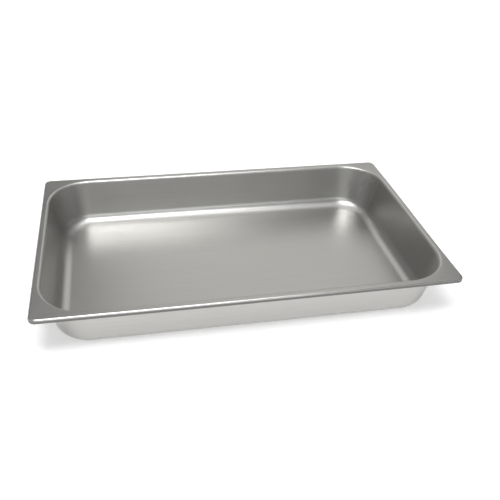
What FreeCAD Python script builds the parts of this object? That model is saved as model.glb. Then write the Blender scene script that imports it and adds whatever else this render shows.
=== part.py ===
"""A full-size food pan, deep-drawn in one piece from a sheet of stainless steel.

Frame, in millimetres: the origin is at the middle of the floor's underside, where the pan
rests. +X runs along the pan's length, +Y across its width and +Z up to the rim.

The whole pan is one sheet. From the middle outwards it is a flat floor, a round fillet, a
sloping wall, a small bend over the mouth, a flat flange, and a roll down into a short lip.
The fillet, wall and bend share one section, and so do the roll and the lip. Each section is
swept round a rounded rectangle, along four straight sides and through four quarter turns.
"""

import FreeCAD
import Part
import math
import os

# Overall size
RIM_LENGTH = 530.0  # over the lip, along X
RIM_WIDTH = 325.0  # over the lip, along Y
DEPTH = 65.0  # underside of the floor to the top of the flange
SHEET = 0.8  # thickness of the steel

# Mouth, wall and floor, measured on the sheet's upper side
FLANGE = 9.5  # lip's outside to the edge of the mouth
MOUTH_CORNER_RADIUS = 57.5
WALL_DRAFT = 12.0  # degrees that the wall leans out from the vertical
MOUTH_BEND_RADIUS = 4.0
FLOOR_FILLET_RADIUS = 17.0

# Rim
RIM_CORNER_RADIUS = 9.0
ROLL_RADIUS = 2.5  # outside of the roll between the flange and the lip
LIP_DROP = 5.5  # top of the flange to the lip's lower edge

# Corner axes of the two sweeps, as distances from the middle of the pan
MOUTH_AXIS_X = RIM_LENGTH / 2 - FLANGE - MOUTH_CORNER_RADIUS
MOUTH_AXIS_Y = RIM_WIDTH / 2 - FLANGE - MOUTH_CORNER_RADIUS
RIM_AXIS_X = RIM_LENGTH / 2 - RIM_CORNER_RADIUS
RIM_AXIS_Y = RIM_WIDTH / 2 - RIM_CORNER_RADIUS

# The sheet turns through the same angle at the mouth's bend and at the floor's fillet
SHEET_TURN = math.radians(90.0 - WALL_DRAFT)
BEND_TANGENT = MOUTH_BEND_RADIUS * math.tan(SHEET_TURN / 2)
FILLET_TANGENT = FLOOR_FILLET_RADIUS * math.tan(SHEET_TURN / 2)
WALL_RUN = (DEPTH - SHEET) * math.tan(math.radians(WALL_DRAFT))

# Distances from the mouth's corner axis to the lines where the flat parts of the sheet end
FLANGE_EDGE = MOUTH_CORNER_RADIUS + BEND_TANGENT
FLOOR_EDGE = MOUTH_CORNER_RADIUS - WALL_RUN - FILLET_TANGENT

UP = FreeCAD.Vector(0, 0, 1)
ORIGIN = FreeCAD.Vector(0, 0, 0)


def arc_point(centre, radius, degrees):
    """A point of a section's arc: 0 degrees is outwards and 90 degrees is up."""
    angle = math.radians(degrees)
    return centre + FreeCAD.Vector(math.cos(angle), 0, math.sin(angle)) * radius


def arc(centre, radius, first, last):
    """The arc of a section from one angle to another, in degrees."""
    middle = arc_point(centre, radius, (first + last) / 2)
    ends = arc_point(centre, radius, first), arc_point(centre, radius, last)
    return Part.Arc(ends[0], middle, ends[1]).toShape()


def section_face(curves):
    """A flat face bounded by curves in order, with straight lines across the gaps."""
    edges = []
    for curve, following in zip(curves, curves[1:] + curves[:1]):
        start = curve.lastVertex(True).Point
        end = following.firstVertex(True).Point
        edges.append(curve)
        edges.append(Part.makeLine(start, end))
    return Part.Face(Part.Wire(edges))


def wall_section():
    """The bend, wall and fillet of the sheet, drawn outwards from the mouth's corner axis."""
    bend = FreeCAD.Vector(FLANGE_EDGE, 0, DEPTH - MOUTH_BEND_RADIUS)
    fillet = FreeCAD.Vector(FLOOR_EDGE, 0, SHEET + FLOOR_FILLET_RADIUS)
    bend_end = 180.0 - WALL_DRAFT
    fillet_end = -WALL_DRAFT
    return section_face(
        [
            arc(bend, MOUTH_BEND_RADIUS, 90.0, bend_end),
            arc(fillet, FLOOR_FILLET_RADIUS, fillet_end, -90.0),
            arc(fillet, FLOOR_FILLET_RADIUS + SHEET, -90.0, fillet_end),
            arc(bend, MOUTH_BEND_RADIUS - SHEET, bend_end, 90.0),
        ]
    )


def lip_section():
    """The roll and the lip of the sheet, drawn outwards from the rim's corner axis."""
    roll = FreeCAD.Vector(RIM_CORNER_RADIUS - ROLL_RADIUS, 0, DEPTH - ROLL_RADIUS)
    lip_end = DEPTH - LIP_DROP
    lower_edge = Part.makeLine(
        FreeCAD.Vector(RIM_CORNER_RADIUS, 0, lip_end),
        FreeCAD.Vector(RIM_CORNER_RADIUS - SHEET, 0, lip_end),
    )
    return section_face(
        [
            arc(roll, ROLL_RADIUS, 90.0, 0.0),
            lower_edge,
            arc(roll, ROLL_RADIUS - SHEET, 0.0, 90.0),
        ]
    )


def corner_axes(axis_x, axis_y):
    """The four corner axes of a rounded rectangle, anticlockwise from +X +Y."""
    signs = [(1, 1), (-1, 1), (-1, -1), (1, -1)]
    return [FreeCAD.Vector(x * axis_x, y * axis_y, 0) for x, y in signs]


def swept_ring(section, axis_x, axis_y):
    """Solids of a section swept round a rounded rectangle: four sides and four corners."""
    axes = corner_axes(axis_x, axis_y)
    solids = []
    for turn, axis in enumerate(axes):
        start = section.copy()
        start.rotate(ORIGIN, UP, 90.0 * turn)
        start.translate(axis)
        solids.append(start.extrude(axes[turn - 1] - axis))
        solids.append(start.revolve(axis, UP, 90.0))
    return solids


def outline(axis_x, axis_y, radius):
    """The closed line of a rounded rectangle, lying in the XY plane."""
    edges = []
    axes = corner_axes(axis_x, axis_y)
    for turn, axis in enumerate(axes):
        bearings = [math.radians(90.0 * turn + part) for part in (0.0, 45.0, 90.0)]
        directions = [FreeCAD.Vector(math.cos(b), math.sin(b), 0) for b in bearings]
        points = [axis + direction * radius for direction in directions]
        side_start = axes[turn - 1] + directions[0] * radius
        edges.append(Part.makeLine(side_start, points[0]))
        edges.append(Part.Arc(*points).toShape())
    return Part.Wire(edges)


def floor_plate():
    """The flat floor inside the fillet."""
    face = Part.Face(outline(MOUTH_AXIS_X, MOUTH_AXIS_Y, FLOOR_EDGE))
    return face.extrude(UP * SHEET)


def flange_plate():
    """The flat flange between the bend over the mouth and the roll at the rim."""
    outer = outline(RIM_AXIS_X, RIM_AXIS_Y, RIM_CORNER_RADIUS - ROLL_RADIUS)
    mouth = outline(MOUTH_AXIS_X, MOUTH_AXIS_Y, FLANGE_EDGE)
    plate = Part.Face(outer).cut(Part.Face(mouth)).extrude(UP * SHEET)
    plate.translate(UP * (DEPTH - SHEET))
    return plate


def pan():
    """The pan: every stretch of the sheet joined into one solid, as it is drawn in one piece."""
    walls = swept_ring(wall_section(), MOUTH_AXIS_X, MOUTH_AXIS_Y)
    lip = swept_ring(lip_section(), RIM_AXIS_X, RIM_AXIS_Y)
    sheet = floor_plate().multiFuse([flange_plate()] + walls + lip)
    return sheet.removeSplitter().Solids[0]


def main():
    os.makedirs("parts", exist_ok=True)
    shape = pan()
    shape.exportStep("parts/pan.step")
    size = shape.optimalBoundingBox(False, False)
    print("pan is one closed valid solid:", shape.isValid() and shape.isClosed())
    print("size in mm:", round(size.XLength, 3), round(size.YLength, 3), round(size.ZLength, 3))
    print("volume in cubic mm:", round(shape.Volume))


main()
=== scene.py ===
"""Looks of the deli food pan: one drawn sheet of satin stainless steel on a pale floor.

Lengths are in metres, in the frame of the CAD model: the origin is at the middle of the
floor's underside, +X runs along the pan's length, +Y across its width and +Z up to the rim.
"""

import math
from collections import namedtuple

import bpy
from mathutils import Matrix, Vector


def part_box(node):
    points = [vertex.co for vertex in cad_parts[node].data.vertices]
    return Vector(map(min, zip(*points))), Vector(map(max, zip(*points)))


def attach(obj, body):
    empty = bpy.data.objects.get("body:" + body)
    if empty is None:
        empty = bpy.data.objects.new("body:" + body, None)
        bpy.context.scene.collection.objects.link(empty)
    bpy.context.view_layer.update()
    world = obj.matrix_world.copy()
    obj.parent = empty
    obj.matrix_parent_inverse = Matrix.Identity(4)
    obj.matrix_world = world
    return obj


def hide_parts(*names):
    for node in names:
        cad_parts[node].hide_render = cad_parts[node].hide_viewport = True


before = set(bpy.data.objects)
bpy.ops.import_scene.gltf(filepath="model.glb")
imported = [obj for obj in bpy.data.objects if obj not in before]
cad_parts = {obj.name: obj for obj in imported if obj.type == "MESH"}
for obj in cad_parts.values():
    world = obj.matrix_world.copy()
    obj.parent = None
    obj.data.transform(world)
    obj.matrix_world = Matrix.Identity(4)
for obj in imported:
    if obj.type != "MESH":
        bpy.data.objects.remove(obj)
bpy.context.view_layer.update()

MM = 0.001

# ---------------------------------------------------------------- the sheet's dimensions
PAN_LOW, PAN_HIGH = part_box("pan")
RIM_HALF_LENGTH = PAN_HIGH.x
RIM_HALF_WIDTH = PAN_HIGH.y
HEIGHT = PAN_HIGH.z
SHEET = 0.8 * MM
FLANGE = 9.5 * MM  # lip's outside to the edge of the mouth
MOUTH_CORNER = 57.5 * MM
WALL_SLOPE = math.radians(78.0)  # up from the level
MOUTH_BEND = 4.0 * MM  # radius of the sheet's upper side
FLOOR_FILLET = 17.0 * MM  # the same
RIM_CORNER = 9.0 * MM
ROLL = 2.5 * MM  # outer radius between the flange and the lip
LIP_DROP = 5.5 * MM  # top of the flange to the lip's lower edge

# Corner axes of the mouth and of the rim, and where the flat parts of the sheet end
MOUTH_AXES = Vector((RIM_HALF_LENGTH, RIM_HALF_WIDTH)) - Vector((1, 1)) * (FLANGE + MOUTH_CORNER)
RIM_AXES = Vector((RIM_HALF_LENGTH - RIM_CORNER, RIM_HALF_WIDTH - RIM_CORNER))
FILLET_TANGENT = FLOOR_FILLET * math.tan(WALL_SLOPE / 2)
BEND_TANGENT = MOUTH_BEND * math.tan(WALL_SLOPE / 2)
WALL_LENGTH = (HEIGHT - SHEET) / math.sin(WALL_SLOPE) - FILLET_TANGENT - BEND_TANGENT
FLANGE_EDGE = MOUTH_CORNER + BEND_TANGENT
FLOOR_EDGE = MOUTH_CORNER - (HEIGHT - SHEET) / math.tan(WALL_SLOPE) - FILLET_TANGENT

# ---------------------------------------------------------------- how fine the mesh is
CORNER_STEPS = 30
LONG_SIDE_STEPS = 56
SHORT_SIDE_STEPS = 28
FLOOR_SHARES = (0.25, 0.5, 0.75, 0.95)  # rings between the central rectangle and the fillet
FILLET_STEPS = 18
WALL_STEPS = 10
BEND_STEPS = 12
ROLL_STEPS = 12
LIP_STEPS = 4
LIP_EDGE_STEPS = 6

# Short straight steps beside the arcs, which keep the smooth shading of the flats even
AFTER_FILLET = 1.0 * MM
BEFORE_BEND = 0.6 * MM
AFTER_ROLL = 0.5 * MM

# Rings of the flange, as (share of the way from the bend to the roll, share rubbed bright)
FLANGE_RINGS = ((0.08, 0.2), (0.3, 0.0), (0.55, 0.0), (0.8, 0.0), (0.94, 0.3))

# ---------------------------------------------------------------- what forming leaves behind
FLOOR_CROWN = 0.5 * MM
NEAR_RIM_BOW = 0.8 * MM
RIGHT_RIM_WAVE = 0.6 * MM
WALL_BELLY = 0.35 * MM
RIPPLE = 0.03 * MM
RIPPLE_PACE = Vector((61, 83, 47))  # radians per metre along X, Y and Z
RIPPLE_START = Vector((1.3, 0.4))  # radians

# ---------------------------------------------------------------- where wear marks it, and where shade is painted
BEND_RUBBED = 0.4  # how far cloths and stacked pans rub the mouth bend bright
BEND_WEAR_START = HEIGHT - 0.9 * MOUTH_BEND
BEND_WEAR_RISE = 0.6 * MOUTH_BEND
# Where painted shade darkens the lip's upright face, standing in for the dark reflection it
# shows
LIP_SHADE_START = HEIGHT - 0.4 * ROLL
LIP_SHADE_DROP = 0.6 * ROLL

# One line of the sheet round the pan. Its spread is 0 when it turns about the mouth's corner
# axes and 1 about the rim's; its radius is from those axes, and its stretch is how much
# further out it lay in the flat blank. Rubbed is wear; the other share is painted shade on the
# lip.
Ring = namedtuple("Ring", "spread radius height stretch handled rubbed", defaults=(0.0, 0.0))

# One place on every ring: its corner axis, or a share of the way between two, and the bearing
Station = namedtuple("Station", "share_x share_y angle")


def follow(radius, height, slope, moves):
    """Points along the upper side of the sheet, as (radius, height, slope, length so far).

    Each move is (length, turn, steps): a straight run, or an arc where the sheet turns.
    """
    points = [(radius, height, slope, 0.0)]
    run = 0.0
    for length, turn, steps in moves:
        step_turn = turn / steps
        chord = length / steps
        if step_turn:
            chord *= math.sin(step_turn / 2) / (step_turn / 2)
        for _ in range(steps):
            heading = slope + step_turn / 2
            radius += chord * math.cos(heading)
            height += chord * math.sin(heading)
            slope += step_turn
            run += length / steps
            points.append((radius, height, slope, run))
    return points


def two_sides(points, spread, stretch_before=0.0):
    """Rings of the upper side and of the underside through points from follow()."""
    upper = []
    under = []
    for radius, height, slope, run in points:
        stretch = stretch_before + run - (radius - points[0][0])
        inwards = SHEET * math.sin(slope)
        upper.append(Ring(spread, radius, height, stretch))
        under.append(Ring(spread, radius + inwards, height - SHEET * math.cos(slope), stretch))
    return upper, under


def mouth_rings():
    """Fillet, wall and bend of the sheet, swept about the mouth's corner axes."""
    moves = [
        (FLOOR_FILLET * WALL_SLOPE, WALL_SLOPE, FILLET_STEPS),
        (AFTER_FILLET, 0.0, 1),
        (WALL_LENGTH - AFTER_FILLET - BEFORE_BEND, 0.0, WALL_STEPS),
        (BEFORE_BEND, 0.0, 1),
        (MOUTH_BEND * WALL_SLOPE, -WALL_SLOPE, BEND_STEPS),
    ]
    upper, under = two_sides(follow(FLOOR_EDGE, SHEET, 0.0, moves), spread=0.0)
    return [ring._replace(rubbed=bend_share(ring.height)) for ring in upper], under


def bend_share(height):
    """How far the sheet is rubbed bright: not at all on the wall, and most on the bend."""
    return BEND_RUBBED * smooth_share((height - BEND_WEAR_START) / BEND_WEAR_RISE)


def flange_rings(stretch):
    """The flat flange between the bend and the roll, where the outline squares up."""
    upper = []
    under = []
    for spread, rubbed in FLANGE_RINGS:
        radius = FLANGE_EDGE + spread * (RIM_CORNER - ROLL - FLANGE_EDGE)
        upper.append(Ring(spread, radius, HEIGHT, stretch, rubbed=rubbed))
        under.append(Ring(spread, radius, HEIGHT - SHEET, stretch))
    return upper, under


def rim_rings(stretch):
    """Roll and lip of the sheet, swept about the rim's corner axes."""
    straight_lip = LIP_DROP - ROLL - SHEET / 2
    moves = [
        (ROLL * math.pi / 2, -math.pi / 2, ROLL_STEPS),
        (AFTER_ROLL, 0.0, 1),
        (straight_lip - AFTER_ROLL, 0.0, LIP_STEPS),
    ]
    upper, under = two_sides(follow(RIM_CORNER - ROLL, HEIGHT, 0.0, moves), 1.0, stretch)
    marked = []
    for ring in upper:
        # Painted shade on the lip's upright face; the roll above it is rubbed bright by wear
        handled = lip_shade_share(ring.height)
        marked.append(ring._replace(handled=handled, rubbed=1.0 - handled))
    return marked, under


def lip_shade_share(height):
    """0 on the top of the roll and 1 on the lip's upright face, where painted shade darkens it.
    """
    return smooth_share((LIP_SHADE_START - height) / LIP_SHADE_DROP)


def lip_edge_rings(last):
    """The lip's lower edge, rounded over by deburring from the outside to the inside."""
    rings = []
    for step in range(1, LIP_EDGE_STEPS):
        angle = math.pi * step / LIP_EDGE_STEPS
        radius = last.radius - SHEET / 2 * (1 - math.cos(angle))
        height = last.height - SHEET / 2 * math.sin(angle)
        rings.append(last._replace(radius=radius, height=height))
    return rings


def floor_rings(height):
    """Rings of the flat floor, from beside its central rectangle out towards the fillet."""
    return [Ring(0.0, FLOOR_EDGE * share, height, 0.0) for share in FLOOR_SHARES]


def sheet_path():
    """Every ring of the closed sheet: out over the upper side and back along the underside."""
    mouth_upper, mouth_under = mouth_rings()
    flange_upper, flange_under = flange_rings(mouth_upper[-1].stretch)
    rim_upper, rim_under = rim_rings(mouth_upper[-1].stretch)
    upper = floor_rings(SHEET) + mouth_upper + flange_upper + rim_upper
    under = floor_rings(0.0) + mouth_under + flange_under + rim_under
    return upper + lip_edge_rings(rim_upper[-1]) + under[::-1]


def stations():
    """Places round the pan, anticlockwise: a corner's turn, then the side that follows it."""
    corners = [(1, 1), (-1, 1), (-1, -1), (1, -1)]
    made = []
    for index, (x, y) in enumerate(corners):
        next_x, next_y = corners[(index + 1) % 4]
        start = math.pi / 2 * index
        for step in range(CORNER_STEPS):
            made.append(Station(x, y, start + math.pi / 2 * step / CORNER_STEPS))
        steps = LONG_SIDE_STEPS if x != next_x else SHORT_SIDE_STEPS
        for step in range(steps):
            share = step / steps
            share_x = x + (next_x - x) * share
            share_y = y + (next_y - y) * share
            made.append(Station(share_x, share_y, start + math.pi / 2))
    return made


def smooth_share(value):
    """0 below 0, 1 above 1 and an even S between them."""
    value = min(max(value, 0.0), 1.0)
    return value * value * (3 - 2 * value)


def arch(value):
    """1 in the middle, falling evenly to 0 at -1 and 1."""
    return math.cos(math.pi / 2 * min(max(value, -1.0), 1.0)) ** 2


def formed(point):
    """The point moved by the small bows, bellies and ripples that drawing leaves behind."""
    x, y, z = point
    across = x / RIM_HALF_LENGTH
    along = y / RIM_HALF_WIDTH
    rise = z / HEIGHT
    floor_x = MOUTH_AXES.x + FLOOR_EDGE
    floor_y = MOUTH_AXES.y + FLOOR_EDGE
    crown = FLOOR_CROWN * arch(x / floor_x) * arch(y / floor_y)
    near = -NEAR_RIM_BOW * (1 - across**2) * smooth_share(-along) * rise**2
    right = RIGHT_RIM_WAVE * math.sin(math.pi * along) * smooth_share(across) * rise**2
    belly = WALL_BELLY * math.sin(math.pi * min(rise, 1.0))
    belly_y = belly * (1 - across**2) * math.copysign(smooth_share(abs(along)), along)
    belly_x = belly * (1 - along**2) * math.copysign(smooth_share(abs(across)), across)
    ripple_x = math.sin(RIPPLE_PACE.x * x + RIPPLE_START.x)
    ripple_y = math.sin(RIPPLE_PACE.y * y + RIPPLE_PACE.z * z + RIPPLE_START.y)
    ripple = RIPPLE * ripple_x * ripple_y
    return Vector((x + right + belly_x + ripple, y + near + belly_y + ripple, z + crown))


class Sheet:
    """The pan's vertices and faces, each vertex's place in the flat blank, its wear and its
    painted shade.
    """

    def __init__(self):
        self.vertices = []
        self.blank = []
        self.handled = []
        self.rubbed = []
        self.faces = []

    def add(self, ring, station):
        """Adds a ring's vertex at a station and returns its index."""
        axes = MOUTH_AXES.lerp(RIM_AXES, ring.spread)
        outwards = Vector((math.cos(station.angle), math.sin(station.angle)))
        axis = Vector((axes.x * station.share_x, axes.y * station.share_y))
        plan = axis + outwards * ring.radius
        self.vertices.append(formed(Vector((plan.x, plan.y, ring.height))))
        self.blank.append(plan + outwards * ring.stretch)
        self.handled.append(ring.handled)
        self.rubbed.append(ring.rubbed)
        return len(self.vertices) - 1

    def middle(self, height, upwards):
        """The floor's central rectangle as a grid. Returns its vertices by their shares."""
        grid = {}
        ring = Ring(0.0, 0.0, height, 0.0)
        for i in range(LONG_SIDE_STEPS + 1):
            for j in range(SHORT_SIDE_STEPS + 1):
                place = Station(1 - 2 * i / LONG_SIDE_STEPS, 1 - 2 * j / SHORT_SIDE_STEPS, 0.0)
                grid[i, j] = self.add(ring, place)
        for i in range(LONG_SIDE_STEPS):
            for j in range(SHORT_SIDE_STEPS):
                face = [grid[i, j], grid[i + 1, j], grid[i + 1, j + 1], grid[i, j + 1]]
                self.faces.append(face if upwards else face[::-1])
        return grid

    def strip(self, first, second):
        """Faces between two rings of vertices."""
        count = len(first)
        for here in range(count):
            there = (here + 1) % count
            face = [first[here], second[here], second[there], first[there]]
            self.faces.append(list(dict.fromkeys(face)))


def grid_edge(grid, places):
    """The vertices of the grid that the stations stand at, with every corner's turn at one."""
    found = []
    for place in places:
        i = round((1 - place.share_x) / 2 * LONG_SIDE_STEPS)
        j = round((1 - place.share_y) / 2 * SHORT_SIDE_STEPS)
        found.append(grid[i, j])
    return found


def pan_mesh():
    """The whole sheet as one closed mesh with even faces."""
    places = stations()
    sheet = Sheet()
    rings = [grid_edge(sheet.middle(SHEET, True), places)]
    for ring in sheet_path():
        rings.append([sheet.add(ring, place) for place in places])
    rings.append(grid_edge(sheet.middle(0.0, False), places))
    for first, second in zip(rings, rings[1:]):
        sheet.strip(first, second)
    mesh = bpy.data.meshes.new("pan_sheet")
    mesh.from_pydata(sheet.vertices, [], sheet.faces)
    mesh.shade_smooth()
    layer = mesh.uv_layers.new(name="blank")
    for loop in mesh.loops:
        layer.data[loop.index].uv = sheet.blank[loop.vertex_index]
    # Per-vertex shares: painted shade on the lip's upright face, and wear that rubs the sheet
    # bright
    for name, values in (("handled", sheet.handled), ("rubbed", sheet.rubbed)):
        mesh.attributes.new(name, "FLOAT", "POINT").data.foreach_set("value", values)
    mesh.validate()
    mesh.update()
    return mesh


# ---------------------------------------------------------------- materials
class Nodes:
    """Short ways to add and link shader nodes in one material or world."""

    def __init__(self, owner):
        owner.use_nodes = True
        self.tree = owner.node_tree
        self.tree.nodes.clear()

    def add(self, kind, inputs=None, **settings):
        """A new node with its settings and inputs; an input is a value or another output."""
        node = self.tree.nodes.new(kind)
        for name, value in settings.items():
            setattr(node, name, value)
        for name, value in (inputs or {}).items():
            if isinstance(value, bpy.types.NodeSocket):
                self.tree.links.new(value, node.inputs[name])
            else:
                node.inputs[name].default_value = value
        return node

    def noise(self, vector, scale, detail=3.0, roughness=0.5):
        """A noise pattern's value, from 0 to 1."""
        inputs = {"Vector": vector, "Scale": scale, "Detail": detail, "Roughness": roughness}
        return self.add("ShaderNodeTexNoise", inputs).outputs["Fac"]

    def stretched(self, vector, x, y, turn=0.0):
        """Coordinates scaled along and across the sheet's grain, or along a turned line."""
        inputs = {"Vector": vector, "Rotation": (0.0, 0.0, turn)}
        turned = self.add("ShaderNodeMapping", inputs).outputs["Vector"]
        inputs = {"Vector": turned, "Scale": (x, y, 1.0)}
        return self.add("ShaderNodeMapping", inputs).outputs["Vector"]

    def attribute(self, name):
        """A value stored on the mesh."""
        return self.add("ShaderNodeAttribute", attribute_name=name).outputs["Fac"]

    def total(self, *values):
        """The sum of several values."""
        result = values[0]
        for value in values[1:]:
            result = self.maths("ADD", result, value)
        return result

    def spread(self, value, low, high, new_low, new_high):
        """A value moved from one range to another."""
        inputs = {
            "Value": value,
            "From Min": low,
            "From Max": high,
            "To Min": new_low,
            "To Max": new_high,
        }
        return self.add("ShaderNodeMapRange", inputs).outputs["Result"]

    def moved(self, pattern, new_low, new_high):
        """A noise pattern moved to a new range from the range where nearly all of it lies."""
        return self.spread(pattern, NOISE_LOW, NOISE_HIGH, new_low, new_high)

    def scaled(self, value, factor):
        """A value times a number."""
        return self.maths("MULTIPLY", value, factor)

    def mix(self, share, first, second):
        """A colour between two others."""
        node = self.add("ShaderNodeMix", {"Factor": share}, data_type="RGBA")
        for socket, colour in ((node.inputs[6], first), (node.inputs[7], second)):
            if isinstance(colour, bpy.types.NodeSocket):
                self.tree.links.new(colour, socket)
            else:
                socket.default_value = colour
        return node.outputs[2]

    def maths(self, operation, first, second):
        """The result of one operation on two values."""
        inputs = {0: first, 1: second}
        return self.add("ShaderNodeMath", inputs, operation=operation).outputs["Value"]


NOISE_LOW = 0.3
NOISE_HIGH = 0.7

STEEL_DARK = (0.445, 0.44, 0.428, 1.0)
STEEL_LIGHT = (0.51, 0.505, 0.493, 1.0)
STEEL_RUBBED = (0.54, 0.535, 0.523, 1.0)
LIP_PAINTED_SHADE = (0.16, 0.158, 0.154, 1.0)  # painted shade: the lip's upright face painted dark for the dark reflection it shows
RUBBED_COLOUR = 0.7  # how far full rubbing takes the steel to its rubbed colour

# Cells of each pattern per metre, along and across the grain or the scratch
GRAIN_CELLS = (40.0, 1600.0)
STREAK_CELLS = (5.0, 260.0)
CLOUD_CELLS = (7.0, 9.0)
SCRATCH_CELLS = (9.0, 700.0)

# How much of the change from the dark steel to the light one each pattern makes
CLOUD_COLOUR = 0.3
STREAK_COLOUR = 0.35
GRAIN_COLOUR = 0.35

SMOOTHEST = 0.325
ROUGHEST = 0.375
GRAIN_LOW = 0.25
GRAIN_HIGH = 0.75
GRAIN_ROUGHNESS = 0.05
STREAK_ROUGHNESS = 0.012
RUBBED_ROUGHNESS = -0.05
SCRATCH_ROUGHNESS = 0.06

SCRATCH_TURNS = (math.radians(24), math.radians(-37), math.radians(71))
SCRATCH_START = 0.66  # only the peaks of the pattern show, so the scratches are few
SCRATCH_FULL = 0.7
SCRATCH_RELIEF = -0.5  # against the grain's relief of 1
BUMP_STRENGTH = 0.4
BUMP_DISTANCE = 0.02 * MM


def scratches(nodes, blank):
    """1 along a few fine scratches, left by utensils in three directions, and 0 elsewhere."""
    found = []
    for turn in SCRATCH_TURNS:
        lines = nodes.noise(nodes.stretched(blank, *SCRATCH_CELLS, turn), 1.0, 2.0, 0.4)
        found.append(nodes.spread(lines, SCRATCH_START, SCRATCH_FULL, 0.0, 1.0))
    return nodes.maths("MAXIMUM", nodes.maths("MAXIMUM", found[0], found[1]), found[2])


def satin_steel():
    """Stainless steel with the fine grain of the rolled sheet, which ran along the blank."""
    material = bpy.data.materials.new("satin_stainless")
    nodes = Nodes(material)
    blank = nodes.add("ShaderNodeUVMap", uv_map="blank").outputs["UV"]
    grain = nodes.noise(nodes.stretched(blank, *GRAIN_CELLS), 1.0, 4.0, 0.6)
    streaks = nodes.noise(nodes.stretched(blank, *STREAK_CELLS), 1.0, 3.0, 0.5)
    clouds = nodes.noise(nodes.stretched(blank, *CLOUD_CELLS), 1.0, 4.0, 0.55)
    scratched = scratches(nodes, blank)
    # Share of painted shade on the lip's upright face
    handled = nodes.attribute("handled")
    rubbed = nodes.attribute("rubbed")

    light_share = nodes.total(
        nodes.moved(clouds, 0.0, CLOUD_COLOUR),
        nodes.moved(streaks, 0.0, STREAK_COLOUR),
        nodes.moved(grain, 0.0, GRAIN_COLOUR),
    )
    sheet_shade = nodes.mix(light_share, STEEL_DARK, STEEL_LIGHT)
    rubbed_share = nodes.scaled(rubbed, RUBBED_COLOUR)
    # The lip's upright face is mixed towards the painted shade, a dark reflection painted into
    # its colour
    shade = nodes.mix(handled, nodes.mix(rubbed_share, sheet_shade, STEEL_RUBBED), LIP_PAINTED_SHADE)

    roughness = nodes.total(
        nodes.moved(clouds, SMOOTHEST, ROUGHEST),
        nodes.spread(grain, GRAIN_LOW, GRAIN_HIGH, -GRAIN_ROUGHNESS, GRAIN_ROUGHNESS),
        nodes.moved(streaks, -STREAK_ROUGHNESS, STREAK_ROUGHNESS),
        nodes.scaled(rubbed, RUBBED_ROUGHNESS),
        nodes.scaled(scratched, SCRATCH_ROUGHNESS),
    )
    relief = nodes.total(grain, nodes.scaled(scratched, SCRATCH_RELIEF))
    bump = nodes.add(
        "ShaderNodeBump",
        {"Height": relief, "Strength": BUMP_STRENGTH, "Distance": BUMP_DISTANCE},
    ).outputs["Normal"]
    shader = nodes.add(
        "ShaderNodeBsdfPrincipled",
        {"Base Color": shade, "Metallic": 1.0, "Roughness": roughness, "Normal": bump},
    )
    nodes.add("ShaderNodeOutputMaterial", {"Surface": shader.outputs["BSDF"]})
    return material


FLOOR_COLOUR = (0.8, 0.8, 0.8, 1.0)
FLOOR_ROUGHNESS = 0.9
GLOW_COLOUR = (1.0, 1.0, 1.0, 1.0)
GLOW_NEAR = 0.39
GLOW_FAR = 0.64
GLOW_START = 0.3  # distance from the middle of the pan at which the glow starts to rise
GLOW_END = 1.6  # and at which it is full


def floor_material():
    """A matt, nearly white studio floor that glows a little more away from the pan."""
    material = bpy.data.materials.new("studio_floor")
    nodes = Nodes(material)
    place = nodes.add("ShaderNodeTexCoord").outputs["Object"]
    distance = nodes.add("ShaderNodeVectorMath", {0: place}, operation="LENGTH").outputs["Value"]
    glow = nodes.spread(distance, GLOW_START, GLOW_END, GLOW_NEAR, GLOW_FAR)
    shader = nodes.add(
        "ShaderNodeBsdfPrincipled",
        {
            "Base Color": FLOOR_COLOUR,
            "Roughness": FLOOR_ROUGHNESS,
            "Emission Color": GLOW_COLOUR,
            "Emission Strength": glow,
        },
    )
    nodes.add("ShaderNodeOutputMaterial", {"Surface": shader.outputs["BSDF"]})
    return material


# ---------------------------------------------------------------- stage, lights and camera
FLOOR_RADIUS = 12.0
FLOOR_SIDES = 96
FLOOR_GAP = 0.2 * MM  # keeps the studio floor just clear of the pan's underside


def add_object(name, data):
    """A new object with its data, linked into the scene."""
    made = bpy.data.objects.new(name, data)
    bpy.context.scene.collection.objects.link(made)
    return made


def make_floor():
    """A wide round floor under the pan."""
    turns = [2 * math.pi * step / FLOOR_SIDES for step in range(FLOOR_SIDES)]
    edge = [(FLOOR_RADIUS * math.cos(a), FLOOR_RADIUS * math.sin(a), 0.0) for a in turns]
    mesh = bpy.data.meshes.new("studio_floor")
    mesh.from_pydata(edge, [], [list(range(len(edge)))])
    mesh.materials.append(floor_material())
    floor = add_object("studio_floor", mesh)
    floor.location.z = -FLOOR_GAP


def softbox(name, place, size, power, colour=(1.0, 1.0, 1.0)):
    """A soft light at a place in the studio, turned to face the pan."""
    light = bpy.data.lights.new(name, "AREA")
    light.shape = "RECTANGLE"
    light.size, light.size_y = size
    light.energy = power
    light.color = colour
    made = add_object(name, light)
    made.location = place
    made.rotation_euler = Vector(place).to_track_quat("Z", "Y").to_euler()
    made.visible_camera = False


# Brightness of the studio round the pan at each elevation in degrees: pale walls that darken
# towards their tops, and a wide pale ceiling
SURROUND = [
    (0, 0.85),
    (6, 0.6),
    (12, 0.36),
    (19, 0.22),
    (28, 0.17),
    (38, 0.3),
    (46, 0.35),
    (54, 0.35),
    (64, 0.8),
]


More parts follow.
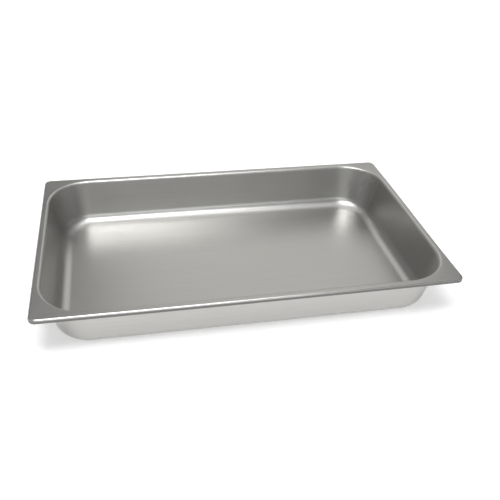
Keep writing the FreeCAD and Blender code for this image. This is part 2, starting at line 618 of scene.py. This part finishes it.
def make_world():
    """The studio's walls and ceiling, as even bands of pale light."""
    world = bpy.data.worlds.new("studio")
    nodes = Nodes(world)
    direction = nodes.add("ShaderNodeTexCoord").outputs["Generated"]
    height = nodes.add("ShaderNodeSeparateXYZ", {"Vector": direction}).outputs["Z"]
    ramp = nodes.add("ShaderNodeValToRGB", {"Fac": height})
    stops = ramp.color_ramp.elements
    while len(stops) < len(SURROUND):
        stops.new(1.0)
    for stop, (elevation, shade) in zip(stops, SURROUND):
        stop.position = math.sin(math.radians(elevation))
        stop.color = (shade, shade, shade, 1.0)
    background = nodes.add("ShaderNodeBackground", {"Color": ramp.outputs["Color"]})
    nodes.add("ShaderNodeOutputWorld", {"Surface": background.outputs["Background"]})
    bpy.context.scene.world = world


WARM_WHITE = (1.0, 0.99, 0.95)
COOL_WHITE = (0.96, 0.99, 1.0)


def make_lights():
    """Soft lights over the pan and its near side, high behind it and in front of it."""
    softbox("over_near_side", (-0.17, -0.65, 1.4), (0.75, 0.35), 10.8)
    softbox("overhead_left", (-0.38, -0.1, 1.4), (0.4, 0.4), 2.8)
    softbox("overhead_right", (0.2, 0.05, 1.4), (0.35, 0.35), 1.2)
    softbox("behind_high", (0.38, 1.25, 1.0), (1.35, 0.75), 2.5, WARM_WHITE)
    softbox("front", (-0.06, -1.5, 0.58), (1.3, 0.5), 3.9, COOL_WHITE)


CAMERA_PLACE = Vector((-0.146, -0.706, 0.5275))
CAMERA_TURN = math.radians(12.37)  # from +Y towards +X
CAMERA_PITCH = math.radians(34.98)  # down from the level
CAMERA_ROLL = math.radians(2.46)
CAMERA_SENSOR = 36.0  # millimetres, as the lens is
CAMERA_LENS = 44.25
CAMERA_SHIFT = 0.02


def make_camera():
    """The camera, looking along the pan from its near left."""
    camera = bpy.data.cameras.new("camera")
    camera.sensor_width = CAMERA_SENSOR
    camera.lens = CAMERA_LENS
    camera.shift_x = CAMERA_SHIFT
    camera.clip_start = 0.01
    camera.clip_end = 100.0
    made = add_object("camera", camera)
    turn = Matrix.Rotation(-CAMERA_TURN, 4, "Z")
    pitch = Matrix.Rotation(math.pi / 2 - CAMERA_PITCH, 4, "X")
    roll = Matrix.Rotation(CAMERA_ROLL, 4, "Z")
    made.matrix_world = Matrix.Translation(CAMERA_PLACE) @ turn @ pitch @ roll
    bpy.context.scene.camera = made


def make_pan():
    """The visible pan, which stands for the CAD node and rides on the only body."""
    pan = add_object("pan_sheet", pan_mesh())
    pan.data.materials.append(satin_steel())
    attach(pan, "root")
    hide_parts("pan")


make_pan()
make_floor()
make_world()
make_lights()
make_camera()
bpy.context.scene.view_settings.view_transform = "Standard"
